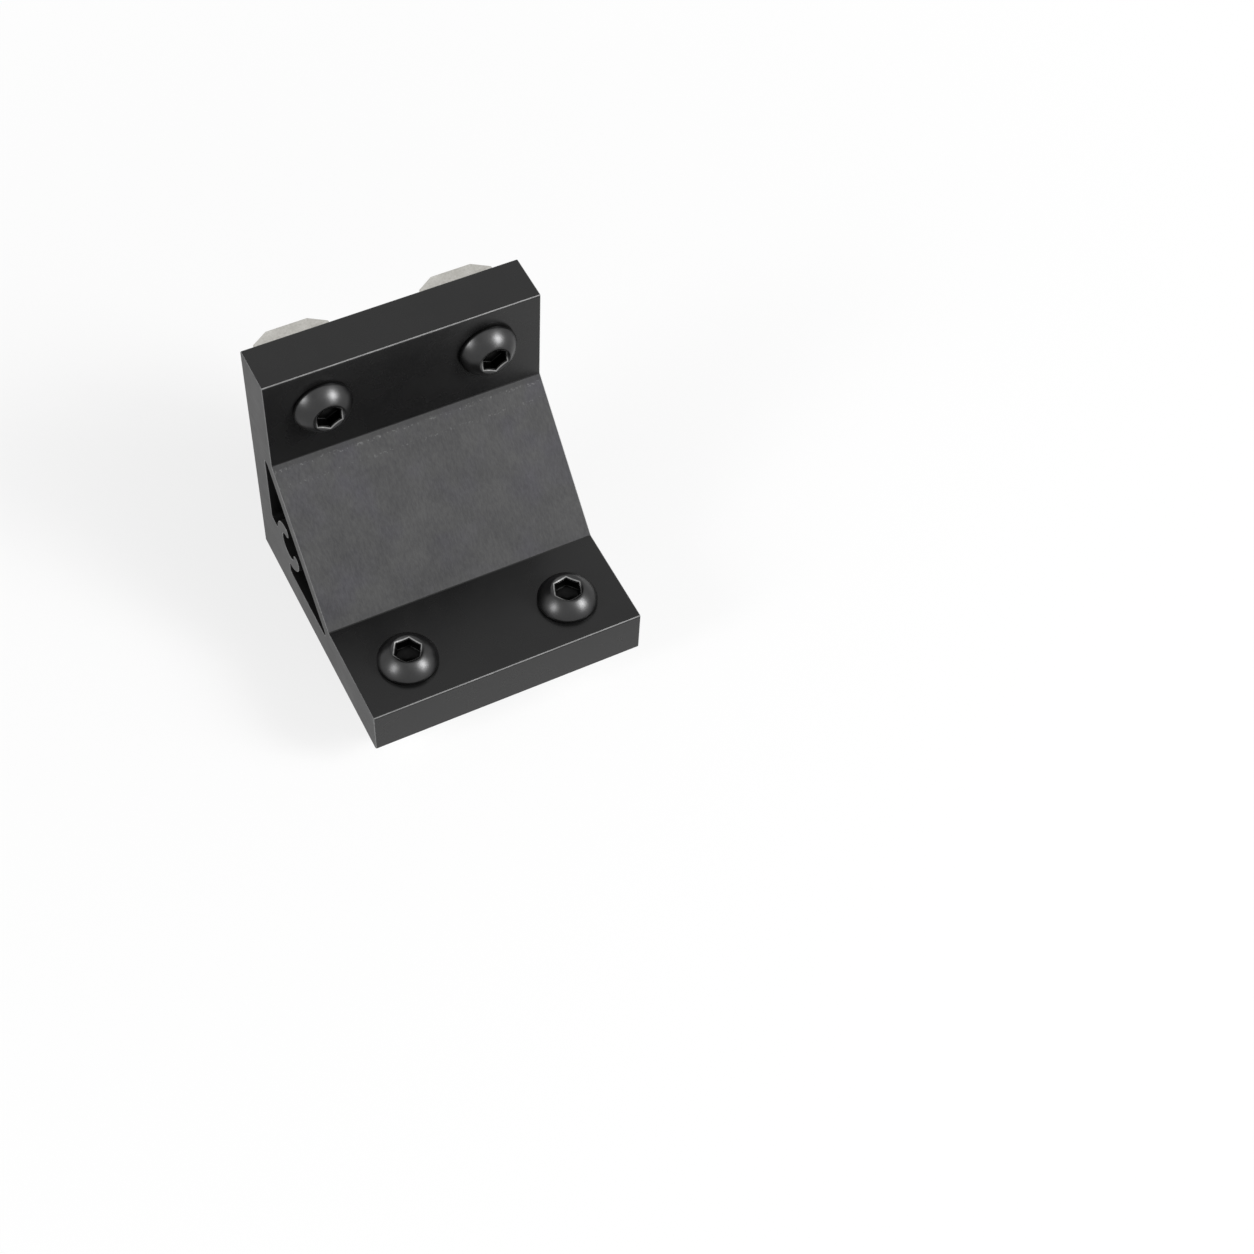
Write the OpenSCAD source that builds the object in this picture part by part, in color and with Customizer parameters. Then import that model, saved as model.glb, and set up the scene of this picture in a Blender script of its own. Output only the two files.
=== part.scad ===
// Profile bracket: a right-angle bracket cut from a hollow extrusion, with its four
// button-head screws and the four slot nuts that they draw up from behind.
//
// Frame: millimetres, +Z up. X runs along the extrusion, which is centred on X = 0.
// The foot's mounting face lies at Z = 0 and the upright's at Y = 0, and both meet at
// the origin. The bracket lies towards -Y and +Z.

/* [Bracket] */
// Width of the bracket, along the extrusion
bracket_w = 50; // [45:0.5:80]
// Length of each leg, from the corner to its free end
leg_l = 50; // [47:0.5:70]
// Thickness of each leg at its land, where the screws sit
land_t = 9.3; // [8:0.1:12]
// Length of the flat land on each leg, from its free end to the sloping web
land_l = 19.5; // [16:0.1:22]
// Thickness of the wall behind the hollow, on both legs
wall_t = 5.7; // [4:0.1:7]
// Thickness of the sloping web
web_t = 2.8; // [2:0.1:4]
// Radius of the rounded outer edges along the extrusion
edge_r = 0.4; // [0.2:0.05:0.8]
// Radius of the inside corners where the lands run into the web
root_r = 0.5; // [0.2:0.05:1]
// Radius inside the hollow's two sharp corners
tip_r = 1; // [0.5:0.05:1.5]

/* [Screw channel] */
// Distance of the channel's axis from both mounting faces
channel_at = 13.2; // [12.5:0.1:15]
// Radius of the channel's bore
channel_r = 2.45; // [2:0.05:3]
// Thickness of the channel's two arms
arm_t = 2.25; // [1.5:0.05:2.6]
// Angle from the middle of the channel's mouth to the middle of each arm's rounded end
mouth_angle = 54; // [40:1:70]
// Radius where the hollow's pockets end beside the channel
pocket_r = 0.9; // [0.5:0.05:1]

/* [Screws] */
// Distance between the two screws of one leg
screw_pitch = 30; // [26:0.5:36]
// Distance of the screws from the free end of their leg
screw_from_end = 8.5; // [7:0.1:9.5]
// Diameter of the screw's thread
screw_d = 6; // [5:0.5:7]
// Length of the screw below its head
screw_l = 16; // [15.6:0.1:18]
// Diameter of the head
head_d = 10.5; // [10:0.1:12]
// Height of the head
head_h = 3.3; // [3:0.1:4]
// Height of the head's upright rim
rim_h = 0.75; // [0.2:0.05:1]
// Diameter of the flat on top of the head, around the socket
crown_d = 5.9; // [5.8:0.1:6.4]
// Width of the hexagon socket across its flats
socket_s = 4; // [3.5:0.1:4.5]
// Depth of the socket to the end of its flats
socket_h = 2.1; // [1.8:0.1:2.3]
// Diameter of the bevel round the socket's mouth
socket_mouth_d = 5.5; // [5.2:0.1:5.7]
// Depth of that bevel
socket_bevel = 0.4; // [0.2:0.05:0.5]
// Height of the bevel at the screw's end
point_h = 0.6; // [0.3:0.1:1]
// Clearance between a screw and its hole in the bracket, all round
hole_clearance = 0.3; // [0.1:0.05:0.6]

/* [Slot nuts] */
// Width of a nut, along the extrusion
nut_w = 13.5; // [12:0.1:15]
// Length of a nut, along the leg
nut_l = 10; // [9:0.1:16]
// Thickness of a nut
nut_t = 3.2; // [3:0.1:4.1]
// Width of the flat between the bevels at the back of a nut
nut_back_w = 7.4; // [7:0.1:8]
// Height of the bevels along the back of a nut
nut_bevel_h = 2; // [1.5:0.1:2.4]
// Bevel round both ends of a nut's bore
bore_bevel = 0.25; // [0.1:0.05:0.3]
// Space that a nut grips, from the bracket's mounting face to the nut's bearing face
grip_t = 2.2; // [2.1:0.1:2.5]
// Clearance between a nut's bore and its screw, all round
thread_clearance = 0.05; // [0.03:0.01:0.1]

/* [Hidden] */
$fn = 96;
eps = 1; // how far a cut runs past the solid that it cuts
slope_at = leg_l - land_l; // where the slope starts, from the corner
screw_at = leg_l - screw_from_end; // where a leg's screws sit, from the corner
hollow_reach = slope_at + land_t - web_t * sqrt(2); // where the hollow's slope would meet an axis
hollow_tip = hollow_reach - wall_t; // where the hollow's slope meets the wall
arm_r = channel_r + arm_t; // outer radius of the channel's arms
arm_end_r = 0.55 * arm_t; // the round at an arm's end, which runs out just before it meets the arm's sides
pocket_end = channel_at - pocket_r / 3; // the corner is solid up to this line
socket_r = socket_s / sqrt(3); // the hexagon's corners
socket_at = 15; // the angle of the hexagon's first corner on an unturned screw
crown_r = crown_d / 2;
head_r = head_d / 2;
// The dome is part of a ball that passes through the crown's edge and the rim's edge
ball_z = ((crown_r ^ 2 + head_h ^ 2) - (head_r ^ 2 + rim_h ^ 2)) / (2 * (head_h - rim_h));
ball_r = sqrt(crown_r ^ 2 + (head_h - ball_z) ^ 2);

// Fills an inside corner with a fillet. The walls leave the corner at the angles a and b
module inside_fillet(corner, a, b, r) {
    half = (b - a) / 2;
    along = r / tan(half);
    middle = corner + r / sin(half) * [cos(a + half), sin(a + half)];
    difference() {
        polygon([
            corner,
            corner + along * [cos(a), sin(a)],
            middle,
            corner + along * [cos(b), sin(b)]
        ]);
        translate(middle) circle(r);
    }
}

// Rounds the outside corner of a square edge, as a cut. It points to +X and +Y
module outside_round(corner, turn, r) {
    translate(corner)
        rotate(turn)
            translate([-r, -r])
                difference() {
                    square(r + eps);
                    circle(r);
                }
}

// The section's outline: two legs with a sloping web between their lands.
// In the section, x is the distance from the upright's back and y the height
module outline() {
    difference() {
        polygon([
            [0, 0],
            [leg_l, 0],
            [leg_l, land_t],
            [slope_at, land_t],
            [land_t, slope_at],
            [land_t, leg_l],
            [0, leg_l]
        ]);
        outside_round([leg_l, 0], -90, edge_r);
        outside_round([leg_l, land_t], 0, edge_r);
        outside_round([land_t, leg_l], 0, edge_r);
        outside_round([0, leg_l], 90, edge_r);
    }
    inside_fillet([slope_at, land_t], 0, 135, root_r);
    swap_legs() inside_fillet([slope_at, land_t], 0, 135, root_r);
}

// The triangle between the two walls and the sloping web
module hollow() {
    difference() {
        polygon([
            [wall_t, wall_t],
            [hollow_tip, wall_t],
            [wall_t, hollow_tip]
        ]);
        inside_fillet([hollow_tip, wall_t], 135, 180, tip_r);
        inside_fillet([wall_t, hollow_tip], 270, 315, tip_r);
    }
}

// The fillets that close the upper pocket beside the channel: one against the wall,
// and one that runs into the channel's arm
module pocket_fillets() {
    rise = pocket_end + pocket_r - channel_at;
    run = sqrt((arm_r + pocket_r) ^ 2 - rise ^ 2);
    middle = [channel_at - run, pocket_end + pocket_r];
    touch = [channel_at, channel_at] + arm_r / (arm_r + pocket_r) * [-run, rise];
    inside_fillet([wall_t, pocket_end], 0, 90, pocket_r);
    difference() {
        polygon([[middle[0], pocket_end], [channel_at, pocket_end], touch]);
        translate(middle) circle(pocket_r);
    }
}

// The mirror image across the section's diagonal
module swap_legs() {
    rotate(90) mirror([0, 1]) children();
}

// The channel's C, open towards the web. Its mouth leaves the arms with rounded ends
module channel_arms() {
    arm_middle = channel_r + arm_t / 2;
    translate([channel_at, channel_at])
        rotate(45)
            difference() {
                circle(arm_r);
                difference() {
                    polygon([
                        [0, 0],
                        2 * arm_r * [cos(mouth_angle), -sin(mouth_angle)],
                        [2 * arm_r, 0],
                        2 * arm_r * [cos(mouth_angle), sin(mouth_angle)]
                    ]);
                    for (side = [-1, 1])
                        translate(arm_middle * [cos(mouth_angle), side * sin(mouth_angle)])
                            circle(arm_end_r);
                }
            }
}

// What stands in the hollow's corner: the solid corner and the channel's arms
module channel() {
    difference() {
        union() {
            square(pocket_end);
            channel_arms();
            pocket_fillets();
            swap_legs() pocket_fillets();
        }
        translate([channel_at, channel_at]) circle(channel_r);
    }
}

module bracket_section() {
    difference() {
        outline();
        difference() {
            hollow();
            channel();
        }
    }
}

// One of the foot's two screw places, at the height of its mounting face
module at_foot(side) {
    translate([side * screw_pitch / 2, -screw_at, 0]) children();
}

// The same place on the upright: what points up on the foot points to -Y here
module at_upright(side) {
    translate([side * screw_pitch / 2, 0, screw_at]) rotate([90, 0, 0]) children();
}

// The bracket, extruded along X, with its four screw holes
module bracket_body() {
    hole_r = screw_d / 2 + hole_clearance;
    color([0.13, 0.13, 0.135])
        difference() {
            rotate([90, 0, -90])
                linear_extrude(bracket_w, center = true) bracket_section();
            for (side = [-1, 1]) {
                at_foot(side) translate([0, 0, -eps]) cylinder(h = land_t + 2 * eps, r = hole_r);
                at_upright(side) translate([0, 0, -eps]) cylinder(h = land_t + 2 * eps, r = hole_r);
            }
        }
}

// The hexagon socket, with a bevelled mouth and a drilled point
module socket() {
    flat_r = socket_s / 2;
    drill_r = 0.92 * flat_r;
    drill_h = drill_r / 3;
    spread = (socket_mouth_d / 2 - flat_r) / socket_bevel;
    translate([0, 0, head_h - socket_h])
        rotate(socket_at) cylinder(h = socket_h + eps, r = socket_r, $fn = 6);
    translate([0, 0, head_h - socket_h - drill_h]) cylinder(h = drill_h, r1 = 0, r2 = drill_r);
    translate([0, 0, head_h - socket_bevel])
        cylinder(h = socket_bevel + eps, r1 = flat_r, r2 = socket_mouth_d / 2 + spread * eps);
}

// A button-head screw. Its head sits at Z = 0 and its thread points down. It is
// tightened until the first corner of its socket lies at the angle turn
module screw(turn) {
    thread_r = screw_d / 2;
    color([0.16, 0.16, 0.165])
        rotate(turn - socket_at)
            difference() {
                union() {
                    intersection() {
                        translate([0, 0, ball_z]) sphere(ball_r);
                        cylinder(h = head_h, r = head_r);
                    }
                    translate([0, 0, point_h - screw_l])
                        cylinder(h = screw_l - point_h, r = thread_r);
                    translate([0, 0, -screw_l])
                        cylinder(h = point_h, r1 = thread_r - point_h, r2 = thread_r);
                }
                socket();
            }
}

// A slot nut, bevelled along both sides of its back. Its bearing face lies at Z = 0, its
// back points down and its length runs along Y
module slot_nut() {
    bore_r = screw_d / 2 + thread_clearance;
    mouth_r = bore_r + bore_bevel + eps;
    color([0.66, 0.65, 0.63])
        difference() {
            rotate([90, 0, 0])
                linear_extrude(nut_l, center = true)
                    polygon([
                        [-nut_w / 2, 0],
                        [nut_w / 2, 0],
                        [nut_w / 2, nut_bevel_h - nut_t],
                        [nut_back_w / 2, -nut_t],
                        [-nut_back_w / 2, -nut_t],
                        [-nut_w / 2, nut_bevel_h - nut_t]
                    ]);
            rotate_extrude()
                polygon([
                    [0, eps],
                    [mouth_r, eps],
                    [bore_r, -bore_bevel],
                    [bore_r, bore_bevel - nut_t],
                    [mouth_r, -nut_t - eps],
                    [0, -nut_t - eps]
                ]);
        }
}

module foot_screw(side, turn) {
    at_foot(side) translate([0, 0, land_t]) screw(turn);
}

module upright_screw(side, turn) {
    at_upright(side) translate([0, 0, land_t]) screw(turn);
}

module foot_nut(side) {
    at_foot(side) translate([0, 0, -grip_t]) slot_nut();
}

module upright_nut(side) {
    at_upright(side) translate([0, 0, -grip_t]) slot_nut();
}

bracket_body();
foot_screw(-1, 0);  // foot_screw_left
foot_screw(1, 10);  // foot_screw_right
upright_screw(-1, 30);  // upright_screw_left
upright_screw(1, 34);  // upright_screw_right
foot_nut(-1);  // foot_nut_left
foot_nut(1);  // foot_nut_right
upright_nut(-1);  // upright_nut_left
upright_nut(1);  // upright_nut_right
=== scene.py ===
import math

import bmesh
import bpy
from mathutils import Matrix, Vector


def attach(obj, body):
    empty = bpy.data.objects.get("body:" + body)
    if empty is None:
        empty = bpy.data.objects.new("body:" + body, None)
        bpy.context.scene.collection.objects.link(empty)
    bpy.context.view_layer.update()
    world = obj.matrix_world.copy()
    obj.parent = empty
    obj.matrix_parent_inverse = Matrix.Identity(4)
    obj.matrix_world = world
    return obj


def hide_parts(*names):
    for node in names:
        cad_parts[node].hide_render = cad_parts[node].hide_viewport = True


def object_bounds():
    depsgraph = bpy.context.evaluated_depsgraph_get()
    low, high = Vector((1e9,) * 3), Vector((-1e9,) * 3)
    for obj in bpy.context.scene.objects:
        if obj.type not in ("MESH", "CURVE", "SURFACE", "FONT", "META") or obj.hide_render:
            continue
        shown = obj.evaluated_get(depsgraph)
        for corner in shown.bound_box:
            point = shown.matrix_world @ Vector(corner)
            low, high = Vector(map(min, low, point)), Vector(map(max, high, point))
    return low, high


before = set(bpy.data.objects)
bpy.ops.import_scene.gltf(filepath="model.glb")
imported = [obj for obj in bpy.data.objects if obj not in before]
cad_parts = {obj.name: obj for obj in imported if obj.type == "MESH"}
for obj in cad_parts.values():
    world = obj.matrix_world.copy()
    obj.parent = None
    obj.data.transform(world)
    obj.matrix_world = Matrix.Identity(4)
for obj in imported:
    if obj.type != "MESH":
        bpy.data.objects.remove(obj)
cad_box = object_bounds()


# Bracket body
# One length of aluminium extrusion, sawn off at both ends and anodised black. A sloping web joins its two legs,
# and the hollow behind the web holds a C-shaped channel for an end-cap screw. Two holes are drilled through
# each leg. The lands under the screw heads are smooth, the web keeps the matt grain of the die.
mm = 0.001
body_w, leg_l = 50.0, 50.0
land_t, land_l = 9.3, 19.5
wall_t, web_t = 5.7, 2.8
outer_edge_r, root_r, tip_r = 0.4, 0.5, 1.0
channel_at, channel_r, arm_t, pocket_r = 13.2, 2.45, 2.25, 0.9
mouth_angle = 54.0
pocket_end = channel_at - pocket_r / 3
screw_pitch, screw_at = 30.0, leg_l - 8.5
hole_r, hole_break = 3.3, 0.2
sawn_break = 0.12
slope_at = leg_l - land_l
hollow_tip = slope_at + land_t - web_t * math.sqrt(2) - wall_t


def arc(middle, radius, start, end, steps=6):
    """Points of the section along an arc, from one angle to another in degrees."""
    turns = [math.radians(start + (end - start) * i / steps) for i in range(steps + 1)]
    return [(middle[0] + radius * math.cos(t), middle[1] + radius * math.sin(t)) for t in turns]


def section_outline():
    """The outside of the section, anticlockwise: distance in front of the upright's back, then height."""
    r, far, run = outer_edge_r, leg_l - outer_edge_r, root_r * math.tan(math.radians(22.5))
    return (
        [(0.0, 0.0)]
        + arc((far, r), r, -90, 0)
        + arc((far, land_t - r), r, 0, 90)
        + arc((slope_at + run, land_t + root_r), root_r, -90, -135, 3)
        + arc((land_t + root_r, slope_at + run), root_r, -135, -180, 3)
        + arc((land_t - r, far), r, 0, 90)
        + arc((r, far), r, 90, 180)
    )


def hollow_outline():
    """The edge of the hollow and its channel, clockwise. The lower half mirrors the upper."""
    axis = (channel_at, channel_at)
    arm_r, arm_middle, end_r = channel_r + arm_t, channel_r + arm_t / 2, 0.55 * arm_t
    rise = pocket_end + pocket_r - channel_at
    run = math.sqrt((arm_r + pocket_r) ** 2 - rise**2)
    lean = math.degrees(math.atan2(rise, run))
    end_at = 45 + mouth_angle
    end = (axis[0] + arm_middle * math.cos(math.radians(end_at)), axis[1] + arm_middle * math.sin(math.radians(end_at)))

    def meets(radius):
        """How far round the channel, from the arm's end circle to where it cuts the arm's side."""
        cosine = (radius**2 + arm_middle**2 - end_r**2) / (2 * radius * arm_middle)
        return math.degrees(math.acos(cosine))

    def seen_from_end(radius, angle):
        """The direction from the middle of the arm's end to a point on one of its sides."""
        x = axis[0] + radius * math.cos(math.radians(angle)) - end[0]
        y = axis[1] + radius * math.sin(math.radians(angle)) - end[1]
        return math.degrees(math.atan2(y, x))

    outer_cut, inner_cut = end_at - meets(arm_r), end_at - meets(channel_r)
    along = tip_r / math.tan(math.radians(22.5))
    half = (
        arc(axis, channel_r, 225, inner_cut, 16)
        + arc(end, end_r, seen_from_end(channel_r, inner_cut), seen_from_end(arm_r, outer_cut), 10)[1:-1]
        + arc(axis, arm_r, outer_cut, 180 - lean, 12)
        + arc((axis[0] - run, axis[1] + rise), pocket_r, -lean, -90, 8)[1:]
        + arc((wall_t + pocket_r, pocket_end + pocket_r), pocket_r, 270, 180, 8)
        + arc((wall_t + tip_r, hollow_tip - along), tip_r, 180, 45, 10)
    )
    return half + [(y, x) for x, y in reversed(half)][:-1]


def moved_inwards(loop, distance):
    """The loop with each point moved into the metal, which lies on the loop's left."""
    moved = []
    for i, here in enumerate(loop):
        normals = []
        for a, b in ((loop[i - 1], here), (here, loop[(i + 1) % len(loop)])):
            length = math.dist(a, b)
            normals.append(((a[1] - b[1]) / length, (b[0] - a[0]) / length))
        (ax, ay), (bx, by) = normals
        share = distance / (1 + ax * bx + ay * by)
        moved.append((here[0] + (ax + bx) * share, here[1] + (ay + by) * share))
    return moved


def on_slope(a, b):
    """Is this stretch of the outline the sloping web's outer face?"""
    tolerance = 0.05
    return all(abs(u + v - slope_at - land_t) < tolerance for u, v in (a, b))


def on_front_round(a, b):
    """Is this stretch the crown of one of the two rounds along the front of the lands?"""
    u, v = (a[0] + b[0]) / 2, (a[1] + b[1]) / 2
    far, near = leg_l - outer_edge_r, land_t - outer_edge_r
    for middle in ((far, near), (near, far)):
        towards = math.degrees(math.atan2(v - middle[1], u - middle[0]))
        if 30 < towards < 60 and math.dist((u, v), middle) < 2 * outer_edge_r:
            return True
    return False


SMOOTH, GRAINED, SAWN, WORN_AND_HIGHLIT, SHADED_HOLLOW = range(5)


def extrusion():
    """The sawn length of extrusion as a mesh, before it is drilled."""
    bm = bmesh.new()
    caps = [[], []]
    end, shoulder = body_w / 2, body_w / 2 - sawn_break
    # The hollow's faces take a darker finish, painted shade in the recess
    for loop, plain in ((section_outline(), SMOOTH), (hollow_outline(), SHADED_HOLLOW)):
        count = len(loop)
        short = moved_inwards(loop, sawn_break)
        sections = [(-end, short), (-shoulder, loop), (shoulder, loop), (end, short)]
        rings = [[bm.verts.new((x * mm, -u * mm, v * mm)) for u, v in points] for x, points in sections]
        for k, (near, far) in enumerate(zip(rings, rings[1:])):
            for i in range(count):
                j = (i + 1) % count
                face = bm.faces.new((near[i], near[j], far[j], far[i]))
                stretch = loop[i], loop[j]
                # Broken edges at the sawn ends and the crowns of the front rounds are lighter: partly wear, partly a
                # painted edge highlight
                worn_and_highlit = k != 1 or on_front_round(*stretch)
                face.material_index = WORN_AND_HIGHLIT if worn_and_highlit else GRAINED if on_slope(*stretch) else plain
        for cap, ring in zip(caps, (rings[0], rings[-1])):
            cap += [bm.edges.get((ring[i], ring[(i + 1) % count])) for i in range(count)]
    for cap in caps:
        filled = bmesh.ops.triangle_fill(bm, use_beauty=True, use_dissolve=False, edges=cap)
        for face in filled["geom"]:
            if isinstance(face, bmesh.types.BMFace):
                face.material_index = SAWN
    bmesh.ops.recalc_face_normals(bm, faces=bm.faces)
    mesh = bpy.data.meshes.new("extrusion")
    bm.to_mesh(mesh)
    bm.free()
    return mesh


def turned(name, rows, steps, bands=()):
    """A mesh of rings round Z. A row is a radius and a height, or a function of the angle that gives them. A band
    is the row where it ends and its material's number."""
    bm = bmesh.new()
    rings = []
    for row in rows:
        ring = []
        for i in range(steps):
            angle = 2 * math.pi * i / steps
            r, z = row(angle) if callable(row) else row
            ring.append(bm.verts.new((r * mm * math.cos(angle), r * mm * math.sin(angle), z * mm)))
        rings.append(ring)
    for k, (near, far) in enumerate(zip(rings, rings[1:])):
        number = next((number for last, number in bands if k < last), 0)
        for i in range(steps):
            j = (i + 1) % steps
            bm.faces.new((near[i], near[j], far[j], far[i])).material_index = number
    for ring, number in ((rings[0], bands[0][1] if bands else 0), (rings[-1], 0)):
        middle = bm.verts.new(sum((v.co for v in ring), Vector()) / steps)
        for i in range(steps):
            bm.faces.new((ring[i], ring[(i + 1) % steps], middle)).material_index = number
    bmesh.ops.recalc_face_normals(bm, faces=bm.faces)
    mesh = bpy.data.meshes.new(name)
    bm.to_mesh(mesh)
    bm.free()
    return mesh


def placed(name, mesh, matrix=None):
    """An object in the scene that holds the mesh."""
    piece = bpy.data.objects.new(name, mesh)
    bpy.context.scene.collection.objects.link(piece)
    if matrix is not None:
        piece.matrix_world = matrix
    return piece


def cut_out(piece, tools):
    """Cuts the tools out of the piece's mesh and throws the tools away."""
    for tool in tools:
        cut = piece.modifiers.new("cut", "BOOLEAN")
        cut.operation, cut.solver, cut.object = "DIFFERENCE", "EXACT", tool
    bpy.context.view_layer.update()
    result = bpy.data.meshes.new_from_object(piece.evaluated_get(bpy.context.evaluated_depsgraph_get()))
    piece.modifiers.clear()
    piece.data = result
    for tool in tools:
        bpy.data.objects.remove(tool)


def smooth_round(piece, crease):
    """Smooth shading on the rounds, while the flat faces stay flat and edges above the crease stay sharp."""
    piece.data.shade_smooth()
    piece.data.set_sharp_from_angle(angle=math.radians(crease))
    weigh = piece.modifiers.new("flat faces stay flat", "WEIGHTED_NORMAL")
    weigh.keep_sharp = True


def at_foot(side, out=0.0):
    """A screw place on the foot, at a distance above its mounting face."""
    return Matrix.Translation(Vector((side * screw_pitch / 2, -screw_at, out)) * mm)


def at_upright(side, out=0.0):
    """A screw place on the upright, at a distance in front of its mounting face. Up on the foot is forward here."""
    moved = Matrix.Translation(Vector((side * screw_pitch / 2, -out, screw_at)) * mm)
    return moved @ Matrix.Rotation(math.pi / 2, 4, "X")


def group(name, inputs, outputs):
    """A new shader node group with its named sockets, and its input and output nodes."""
    tree = bpy.data.node_groups.new(name, "ShaderNodeTree")
    for label, kind, value in inputs:
        tree.interface.new_socket(label, in_out="INPUT", socket_type=kind).default_value = value
    for label, kind in outputs:
        tree.interface.new_socket(label, in_out="OUTPUT", socket_type=kind)
    return tree, tree.nodes.new("NodeGroupInput"), tree.nodes.new("NodeGroupOutput")


def node(tree, kind, links=(), **values):
    """A node with its settings. A link goes from an output socket to the named or numbered input."""
    made = tree.nodes.new(kind)
    sockets = {}
    for key, value in values.items():
        if hasattr(made, key):
            setattr(made, key, value)
        else:
            sockets[key] = value
    for key, value in sockets.items():
        made.inputs[key.replace("_", " ")].default_value = value
    for key, output in links:
        tree.links.new(output, made.inputs[key])
    return made


# Shared by all the finishes: cloudy patches and a fine grain that may be drawn out along one direction
mottle, given, shown = group(
    "mottle",
    [
        ("Direction", "NodeSocketVector", (1.0, 1.0, 1.0)),
        ("Patches per metre", "NodeSocketFloat", 150.0),
        ("Grains per metre", "NodeSocketFloat", 3000.0),
        ("Grain share", "NodeSocketFloat", 0.5),
    ],
    [("Shade", "NodeSocketFloat"), ("Grain", "NodeSocketFloat")],
)
spot = node(mottle, "ShaderNodeTexCoord").outputs["Object"]
drawn = node(mottle, "ShaderNodeVectorMath", [(0, spot), (1, given.outputs["Direction"])], operation="MULTIPLY")
patches = node(
    mottle,
    "ShaderNodeTexNoise",
    [("Vector", spot), ("Scale", given.outputs["Patches per metre"])],
    Detail=3.0,
    Roughness=0.6,
)
grain = node(
    mottle,
    "ShaderNodeTexNoise",
    [("Vector", drawn.outputs[0]), ("Scale", given.outputs["Grains per metre"])],
    Detail=2.0,
    Roughness=0.7,
)
both = node(
    mottle,
    "ShaderNodeMix",
    [(0, given.outputs["Grain share"]), (2, patches.outputs["Fac"]), (3, grain.outputs["Fac"])],
)
mottle.links.new(both.outputs[0], shown.inputs["Shade"])
mottle.links.new(grain.outputs["Fac"], shown.inputs["Grain"])


def finish(name, dark, light, contrast, roughness, direction, scales, share, bump, metallic=0.0, gloss=0.5):
    """A material whose colour and roughness vary with the mottle, between the values given for its ends. The
    scales are the mottle's patches and grains per metre, the share is the grain's, and the bump is in mm."""
    material = bpy.data.materials.new(name)
    material.use_nodes = True
    tree = material.node_tree
    shader = tree.nodes["Principled BSDF"]
    shader.inputs["Metallic"].default_value = metallic
    shader.inputs["Specular IOR Level"].default_value = gloss
    patch = node(tree, "ShaderNodeGroup", node_tree=mottle)
    patch.inputs["Direction"].default_value = direction
    patch.inputs["Patches per metre"].default_value, patch.inputs["Grains per metre"].default_value = scales
    patch.inputs["Grain share"].default_value = share
    shade = [("Value", patch.outputs["Shade"])]
    tone = node(tree, "ShaderNodeMapRange", shade, From_Min=contrast[0], From_Max=contrast[1])
    colour = node(tree, "ShaderNodeMix", [(0, tone.outputs[0])], data_type="RGBA")
    colour.inputs[6].default_value = (*dark, 1.0)
    colour.inputs[7].default_value = (*light, 1.0)
    tree.links.new(colour.outputs[2], shader.inputs["Base Color"])
    rough = node(
        tree,
        "ShaderNodeMapRange",
        shade,
        From_Min=contrast[0],
        From_Max=contrast[1],
        To_Min=roughness[0],
        To_Max=roughness[1],
    )
    tree.links.new(rough.outputs[0], shader.inputs["Roughness"])
    relief = node(tree, "ShaderNodeBump", [("Height", patch.outputs["Grain"])], Strength=1.0, Distance=bump * mm)
    tree.links.new(relief.outputs[0], shader.inputs["Normal"])
    return material, tree, shader, colour


land_gloss = 0.32
smooth_anodised, tree, shader, _ = finish(
    "smooth_anodised",
    dark=(0.0048, 0.0048, 0.0049),
    light=(0.0072, 0.0072, 0.0073),
    contrast=(0.3, 0.7),
    roughness=(0.24, 0.3),
    direction=(0.03, 1.0, 1.0),
    scales=(90.0, 4000.0),
    share=0.03,
    bump=0.0001,
    gloss=land_gloss,
)
# The oxide's fine pits keep the sheen down where it is seen along the surface
seen_along = node(tree, "ShaderNodeLayerWeight", Blend=0.5).outputs["Facing"]
sheen = node(
    tree,
    "ShaderNodeMapRange",
    [("Value", seen_along)],
    From_Min=0.5,
    From_Max=0.72,
    To_Min=land_gloss,
    To_Max=0.004,
)
tree.links.new(sheen.outputs[0], shader.inputs["Specular IOR Level"])
grained_anodised, tree, shader, colour = finish(
    "grained_anodised",
    dark=(0.03, 0.03, 0.0312),
    light=(0.062, 0.062, 0.062),
    contrast=(0.34, 0.66),
    roughness=(0.6, 0.7),
    direction=(1.0, 0.4, 0.4),
    scales=(190.0, 2300.0),
    share=0.55,
    bump=0.02,
    gloss=0.25,
)
# Cooler clouds over the web, a darker band of painted shade in the crease under the upper land, and two rows of nicks.
# The shaded band and the rows lie at these distances under the land, and waver by this height about this middle.
shade_band_top, shade_band_foot, lower_row = 0.6, 0.85, 2.9
waver_h, waver_middle = 0.35, 0.18
nick_reach, nick_core = 0.32, 0.05
spot = node(tree, "ShaderNodeTexCoord").outputs["Object"]
clouds = node(tree, "ShaderNodeTexNoise", [("Vector", spot)], Scale=130.0, Detail=2.0)
cool = node(tree, "ShaderNodeMapRange", [("Value", clouds.outputs["Fac"])], From_Min=0.5, From_Max=0.7, To_Max=0.75)
tint = node(
    tree,
    "ShaderNodeMix",
    [(0, cool.outputs[0]), (6, colour.outputs[2])],
    data_type="RGBA",
    blend_type="MULTIPLY",
)
tint.inputs[7].default_value = (0.97, 0.95, 1.09, 1.0)
height = node(tree, "ShaderNodeSeparateXYZ", [(0, spot)]).outputs["Z"]
waver = node(tree, "ShaderNodeTexNoise", [("Vector", spot)], Scale=260.0, Detail=3.0)
uneven = node(tree, "ShaderNodeMath", [(0, waver.outputs["Fac"])], operation="MULTIPLY_ADD")
uneven.inputs[1].default_value = waver_h * mm
tree.links.new(height, uneven.inputs[2])
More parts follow.
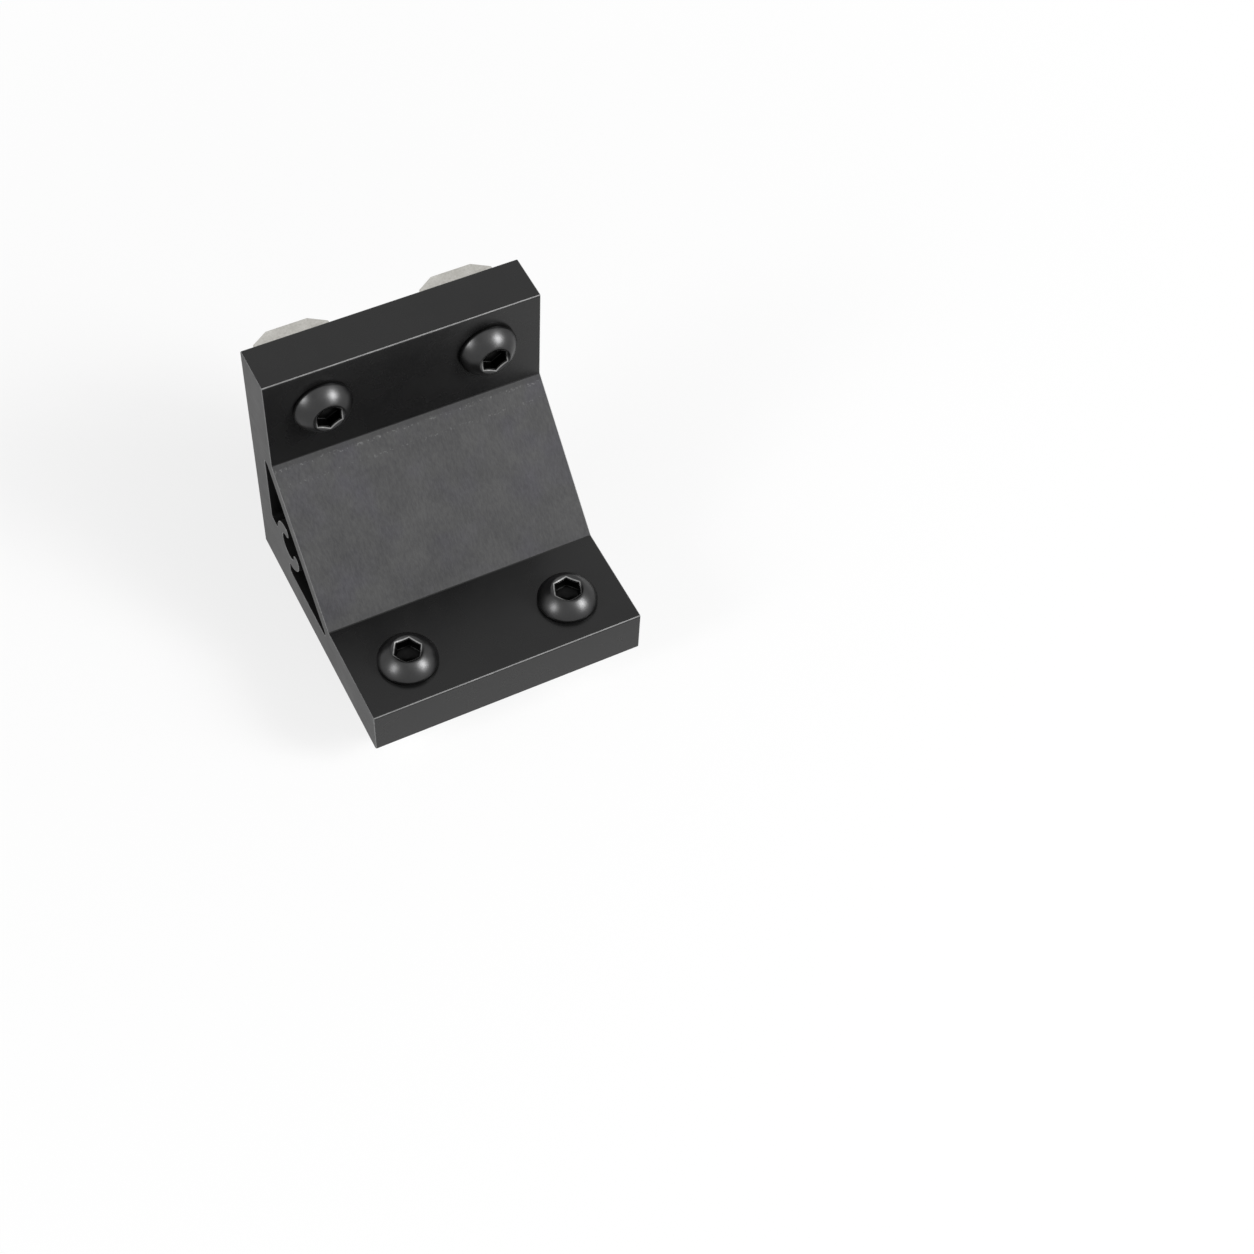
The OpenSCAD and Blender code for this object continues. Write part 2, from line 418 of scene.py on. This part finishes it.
shade_under_land = node(
    tree,
    "ShaderNodeMapRange",
    [("Value", uneven.outputs[0])],
    From_Min=(slope_at - shade_band_foot + waver_middle) * mm,
    From_Max=(slope_at - shade_band_top + waver_middle) * mm,
    To_Max=0.4,
)
# Painted shade: the web darkens towards this colour in the crease under the upper land
with_painted_shade = node(tree, "ShaderNodeMix", [(0, shade_under_land.outputs[0]), (6, tint.outputs[2])], data_type="RGBA")
with_painted_shade.inputs[7].default_value = (0.02, 0.02, 0.02, 1.0)
specks = node(tree, "ShaderNodeTexNoise", [("Vector", spot)], Scale=2600.0, Detail=1.0)
nick = node(tree, "ShaderNodeMapRange", [("Value", specks.outputs["Fac"])], From_Min=0.58, From_Max=0.7)
shown_colour = with_painted_shade
for below, strength in ((shade_band_foot, 0.2), (lower_row, 0.14)):
    off = node(tree, "ShaderNodeMath", [(0, uneven.outputs[0])], operation="SUBTRACT")
    off.inputs[1].default_value = (slope_at - below + waver_middle) * mm
    off = node(tree, "ShaderNodeMath", [(0, off.outputs[0])], operation="ABSOLUTE")
    near = node(
        tree,
        "ShaderNodeMapRange",
        [("Value", off.outputs[0])],
        From_Min=nick_reach * mm,
        From_Max=nick_core * mm,
        To_Max=strength,
    )
    both = node(tree, "ShaderNodeMath", [(0, near.outputs[0]), (1, nick.outputs[0])], operation="MULTIPLY")
    shown_colour = node(tree, "ShaderNodeMix", [(0, both.outputs[0]), (6, shown_colour.outputs[2])], data_type="RGBA")
    shown_colour.inputs[7].default_value = (0.35, 0.35, 0.35, 1.0)
tree.links.new(shown_colour.outputs[2], shader.inputs["Base Color"])
sawn_anodised, *_ = finish(
    "sawn_anodised",
    dark=(0.007, 0.007, 0.0071),
    light=(0.014, 0.014, 0.0143),
    contrast=(0.3, 0.7),
    roughness=(0.42, 0.55),
    direction=(1.0, 0.05, 1.0),
    scales=(120.0, 3500.0),
    share=0.5,
    bump=0.006,
    gloss=0.34,
)
# The hollow's walls: darker and less glossy than the lands, as painted shade in the recess
shaded_hollow_anodised, *_ = finish(
    "shaded_hollow_anodised",
    dark=(0.002, 0.002, 0.002),
    light=(0.004, 0.004, 0.004),
    contrast=(0.3, 0.7),
    roughness=(0.55, 0.65),
    direction=(0.03, 1.0, 1.0),
    scales=(90.0, 3000.0),
    share=0.5,
    bump=0.004,
    gloss=0.15,
)
# Lighter edges: partly wear where the edges are broken, partly a painted highlight along the edges
worn_and_highlit_anodised, *_ = finish(
    "worn_and_highlit_anodised",
    dark=(0.1, 0.1, 0.101),
    light=(0.19, 0.19, 0.19),
    contrast=(0.35, 0.65),
    roughness=(0.35, 0.45),
    direction=(1.0, 1.0, 1.0),
    scales=(400.0, 3000.0),
    share=0.4,
    bump=0.003,
    gloss=0.5,
)
body = placed("bracket_extrusion", extrusion())
for material in (smooth_anodised, grained_anodised, sawn_anodised, worn_and_highlit_anodised, shaded_hollow_anodised):
    body.data.materials.append(material)
broken_r, past = hole_r + hole_break, 1.0
drill_rows = [
    (broken_r + past, -past),
    (broken_r, 0.0),
    (hole_r, hole_break),
    (hole_r, land_t - hole_break),
    (broken_r, land_t),
    (broken_r + past, land_t + past),
]
drill = turned("drill", drill_rows, steps=64)
cut_out(body, [placed("drill", drill, place(side)) for place in (at_foot, at_upright) for side in (-1, 1)])
smooth_round(body, crease=22)
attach(body, "root")
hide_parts("bracket_body")


# Button-head screws
# Four M6 hexagon-socket screws of hardened steel with a black oxide finish. Each head is forged with a domed top,
# its socket is punched and has a bevelled mouth, and the thread is rolled right up to the head.
head_r, head_h, rim_h, crown_r = 5.25, 3.3, 0.75, 2.95
socket_flat, socket_h, mouth_r, mouth_h = 2.0, 2.1, 2.75, 0.4
screw_l, point_h, thread_r, pitch, thread_h = 16.0, 0.6, 2.98, 1.0, 0.6
ball_z = ((crown_r**2 + head_h**2) - (head_r**2 + rim_h**2)) / (2 * (head_h - rim_h))
ball_r = math.hypot(crown_r, head_h - ball_z)
worn_from, worn_to = 0.2, 0.4
dome_steps, rings_per_mm = 16, 12


def hexagon(angle):
    """The distance from the socket's axis to its wall. A corner lies at angle 0."""
    from_flat = angle % (math.pi / 3) - math.pi / 6
    return socket_flat / math.cos(from_flat)


def bevel_z(radius):
    """The height of the bevelled mouth at a radius."""
    return head_h - mouth_h * (mouth_r - radius) / (mouth_r - socket_flat)


def on_mouth(out):
    """A ring on the bevelled mouth, at a distance outside the socket's wall."""
    return lambda angle: (hexagon(angle) + out, bevel_z(hexagon(angle) + out))


def thread(angle, z):
    """The radius of a rolled right-hand thread."""
    phase = abs((z / pitch - angle / (2 * math.pi)) % 1.0 - 0.5)
    share = min(max((phase - 0.125) / 0.3125, 0.0), 1.0)
    return thread_r - thread_h * (1 - share)


def thread_row(z, clearance=0.0, mouth=0.0):
    """One ring of the thread. The mouth is the least radius that it has there."""
    return lambda angle: (max(thread(angle, z) + clearance, mouth), z)


def screw_rows():
    """The screw's rings, from the bottom of the socket over the head and down to the point."""
    floor = head_h - socket_h
    drill_r = 0.92 * socket_flat
    rows = [
        (0.02, floor - drill_r / 3),
        (drill_r * 0.5, floor - drill_r / 6),
        (drill_r, floor),
        lambda a: (hexagon(a) - 0.06, floor),
        lambda a: (hexagon(a), floor + 0.06),
        lambda a: (hexagon(a), bevel_z(hexagon(a)) - 0.03),
        on_mouth(0.03),
        on_mouth(worn_from),
        on_mouth(worn_to),
        (mouth_r - 0.02, head_h - 0.012),
        (mouth_r + 0.02, head_h),
        (crown_r - 0.09, head_h),
        (crown_r - 0.01, head_h - 0.01),
    ]
    first, last = math.asin((crown_r + 0.07) / ball_r), math.asin(head_r / ball_r)
    for i in range(dome_steps + 1):
        tilt = first + (last - first) * i / dome_steps
        rows.append((ball_r * math.sin(tilt), ball_z + ball_r * math.cos(tilt)))
    rounded_rim = [(head_r, 0.4), (head_r - 0.13, 0.13), (head_r - 0.45, 0.0)]
    rows += rounded_rim + [(thread_r + 0.25, 0.0), (thread_r + 0.05, -0.1)]
    for i in range(2, int(screw_l * rings_per_mm)):
        z = -i / rings_per_mm
        limit = thread_r - point_h + (z + screw_l)
        rows.append(lambda a, z=z, limit=limit: (min(thread(a, z), limit), z))
    rows.append((thread_r - point_h - 0.05, -screw_l))
    return rows


# Much darker than the head's oxide: painted shade inside the socket
shaded_socket_oxide, *_ = finish(
    "black_oxide_with_painted_shade_in_socket",
    dark=(0.006, 0.006, 0.006),
    light=(0.012, 0.012, 0.012),
    contrast=(0.3, 0.7),
    roughness=(0.3, 0.4),
    direction=(1.0, 1.0, 1.0),
    scales=(500.0, 6000.0),
    share=0.5,
    bump=0.003,
    metallic=1.0,
)
worn_oxide, *_ = finish(
    "worn_oxide_on_mouth",
    dark=(0.17, 0.17, 0.17),
    light=(0.32, 0.32, 0.315),
    contrast=(0.35, 0.65),
    roughness=(0.28, 0.36),
    direction=(1.0, 1.0, 1.0),
    scales=(700.0, 5000.0),
    share=0.4,
    bump=0.002,
    metallic=1.0,
)
black_oxide, *_ = finish(
    "black_oxide_steel",
    dark=(0.043, 0.043, 0.0434),
    light=(0.053, 0.053, 0.0535),
    contrast=(0.3, 0.7),
    roughness=(0.31, 0.35),
    direction=(1.0, 1.0, 1.0),
    scales=(500.0, 6000.0),
    share=0.5,
    bump=0.003,
    metallic=1.0,
)
screw_places = {
    "foot_screw_left": (at_foot, -1, 0.0),
    "foot_screw_right": (at_foot, 1, 10.0),
    "upright_screw_left": (at_upright, -1, 30.0),
    "upright_screw_right": (at_upright, 1, 34.0),
}


def under_head(place, side, turn):
    """Where a screw sits: the middle of its bearing face on the land, and its turn in degrees."""
    return place(side, land_t) @ Matrix.Rotation(math.radians(turn), 4, "Z")


# The socket's oxide, darkened as painted shade, ends at row 7, and the worn edge of its mouth at row 8
SHADED_SOCKET, WORN = 1, 2
one_screw = turned("button_head_screw", screw_rows(), steps=96, bands=((7, SHADED_SOCKET), (8, WORN)))
for material in (black_oxide, shaded_socket_oxide, worn_oxide):
    one_screw.materials.append(material)
for name, screw_place in screw_places.items():
    screw = placed("threaded_" + name, one_screw.copy(), under_head(*screw_place))
    smooth_round(screw, crease=28)
    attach(screw, "root")
    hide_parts(name)


# Slot nuts
# Four steel nuts, cut from a drawn bar with a bevel along both sides of its back, drilled, tapped M6 and zinc
# plated. Each one stands off from the bracket by the thickness of what it grips.
nut_w, nut_l, nut_t, nut_back_w, nut_bevel_h, grip_t = 13.5, 10.0, 3.2, 7.4, 2.0, 2.2
nut_edge, bore_mouth, tap_clearance = 0.2, 3.3, 0.05


def nut_block():
    """The nut before it is drilled, with its bearing face at the top and its edges rounded."""
    outline = [
        (-nut_w / 2, 0.0),
        (-nut_w / 2, nut_bevel_h - nut_t),
        (-nut_back_w / 2, -nut_t),
        (nut_back_w / 2, -nut_t),
        (nut_w / 2, nut_bevel_h - nut_t),
        (nut_w / 2, 0.0),
    ]
    bm = bmesh.new()
    ends = [[bm.verts.new((x * mm, y * mm, z * mm)) for x, z in outline] for y in (-nut_l / 2, nut_l / 2)]
    for ring in ends:
        bm.faces.new(ring)
    for i in range(len(outline)):
        j = (i + 1) % len(outline)
        bm.faces.new((ends[0][i], ends[0][j], ends[1][j], ends[1][i]))
    bmesh.ops.recalc_face_normals(bm, faces=bm.faces)
    bmesh.ops.bevel(bm, geom=bm.edges[:], offset=nut_edge * mm, segments=3, profile=0.5, affect="EDGES")
    mesh = bpy.data.meshes.new("nut_block")
    bm.to_mesh(mesh)
    bm.free()
    return mesh


def tap():
    """What the tap and the countersink take out of a nut, in the screw's own frame under its head."""
    top, bottom = -land_t - grip_t, -land_t - grip_t - nut_t
    past_face = 0.5
    rows = []
    for i in range(int((nut_t + 2 * past_face) * rings_per_mm) + 1):
        z = top + past_face - i / rings_per_mm
        depth = min(top - z, z - bottom)
        rows.append(thread_row(z, tap_clearance, bore_mouth - depth))
    return turned("tap", rows, steps=64)


zinc, *_ = finish(
    "zinc_plate",
    dark=(0.42, 0.41, 0.38),
    light=(0.6, 0.59, 0.56),
    contrast=(0.35, 0.65),
    roughness=(0.38, 0.52),
    direction=(1.0, 0.15, 1.0),
    scales=(260.0, 2500.0),
    share=0.45,
    bump=0.006,
    metallic=0.9,
)
block = nut_block()
block.materials.append(zinc)
thread_cut = tap()
for screw_name, (place, side, turn) in screw_places.items():
    name = screw_name.replace("screw", "nut")
    nut = placed("tapped_" + name, block.copy(), place(side, -grip_t))
    cut_out(nut, [placed("tap", thread_cut.copy(), under_head(place, side, turn))])
    nut.data.materials.clear()
    nut.data.materials.append(zinc)
    smooth_round(nut, crease=32)
    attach(nut, "root")
    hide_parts(name)


# Studio
# A white floor just under the screws' points, large soft lamps to the right, to the left and above, and a camera
# that looks down at the bracket from its front left, as in the photograph.


def seen_directly(tree):
    """1 for what the camera, gloss and glass see, and 0 for the light on the bracket."""
    path = node(tree, "ShaderNodeLightPath").outputs
    seen = path["Is Camera Ray"]
    for kind in ("Is Glossy Ray", "Is Transmission Ray"):
        seen = node(tree, "ShaderNodeMath", [(0, seen), (1, path[kind])], operation="MAXIMUM").outputs[0]
    return seen


floor_mesh = bpy.data.meshes.new("floor")
reach, floor_gap = 6.0, 0.0002
corners = [(-reach, -reach, 0), (reach, -reach, 0), (reach, reach, 0), (-reach, reach, 0)]
floor_mesh.from_pydata(corners, [], [(0, 1, 2, 3)])
floor = placed("floor", floor_mesh, Matrix.Translation((0, 0, cad_box[0].z - floor_gap)))
paper = bpy.data.materials.new("white_paper")
paper.use_nodes = True
tree = paper.node_tree
sheet = tree.nodes["Principled BSDF"]
sheet.inputs["Base Color"].default_value = (0.93, 0.93, 0.93, 1.0)
sheet.inputs["Roughness"].default_value = 0.9
sheet.inputs["Specular IOR Level"].default_value = 0.1
white = node(tree, "ShaderNodeEmission", Strength=1.0)
white.inputs["Color"].default_value = (1.0, 1.0, 1.0, 1.0)
spot = node(tree, "ShaderNodeTexCoord").outputs["Object"]
away = node(tree, "ShaderNodeVectorMath", [(0, spot)], operation="LENGTH")
fade = node(tree, "ShaderNodeMapRange", [("Value", away.outputs["Value"])], From_Min=0.03, From_Max=0.22, To_Min=0.78)
share = node(tree, "ShaderNodeMath", [(0, seen_directly(tree)), (1, fade.outputs[0])], operation="MULTIPLY")
mixed = node(tree, "ShaderNodeMixShader", [(0, share.outputs[0]), (1, sheet.outputs[0]), (2, white.outputs[0])])
tree.links.new(mixed.outputs[0], tree.nodes["Material Output"].inputs["Surface"])
floor_mesh.materials.append(paper)

world = bpy.data.worlds.new("white_studio")
bpy.context.scene.world = world
world.use_nodes = True
tree = world.node_tree
room = tree.nodes["Background"]
room.inputs["Color"].default_value = (1.0, 1.0, 1.0, 1.0)
room.inputs["Strength"].default_value = 0.1
backdrop = node(tree, "ShaderNodeBackground", Strength=1.0)
backdrop.inputs["Color"].default_value = (1.0, 1.0, 1.0, 1.0)
mixed = node(tree, "ShaderNodeMixShader", [(0, seen_directly(tree)), (1, room.outputs[0]), (2, backdrop.outputs[0])])
tree.links.new(mixed.outputs[0], tree.nodes["World Output"].inputs["Surface"])


def softbox(name, azimuth, elevation, distance, width, height, radiance):
    """A rectangular lamp that faces the bracket, in degrees and metres. Azimuth 0 is in front, 90 to the right."""
    aim = Vector((0, -0.025, 0.02))
    a, e = math.radians(azimuth), math.radians(elevation)
    towards = Vector((math.sin(a) * math.cos(e), -math.cos(a) * math.cos(e), math.sin(e)))
    lamp = bpy.data.lights.new(name, "AREA")
    lamp.shape, lamp.size, lamp.size_y = "RECTANGLE", width, height
    lamp.energy = radiance * math.pi * width * height
    lit = bpy.data.objects.new(name, lamp)
    bpy.context.scene.collection.objects.link(lit)
    lit.location = aim + towards * distance
    lit.rotation_mode = "QUATERNION"
    lit.rotation_quaternion = towards.to_track_quat("Z", "Y")


# Each side's softbox is brightest in its middle, in front of its flash tube
softbox("right_softbox", 45, 33, 1.2, 0.65, 0.65, 7.0)
softbox("right_softbox_middle", 45, 33, 1.15, 0.28, 0.4, 21.0)
softbox("left_softbox", -81, 28, 1.2, 0.55, 0.55, 3.8)
softbox("left_softbox_middle", -81, 28, 1.15, 0.24, 0.36, 11.3)
softbox("top_softbox", 15, 62, 1.4, 1.0, 1.0, 0.3)

lens = bpy.data.cameras.new("photograph")
lens.lens, lens.sensor_width = 68.1, 36.0
lens.clip_start, lens.clip_end = 0.01, 20.0
camera = bpy.data.objects.new("photograph", lens)
bpy.context.scene.collection.objects.link(camera)
camera.location = Vector((-97.47, -258.02, 339.86)) * mm
camera.rotation_euler = [math.radians(turn) for turn in (35.783, -2.214, -26.882)]
bpy.context.scene.camera = camera
bpy.context.scene.view_settings.view_transform = "Standard"
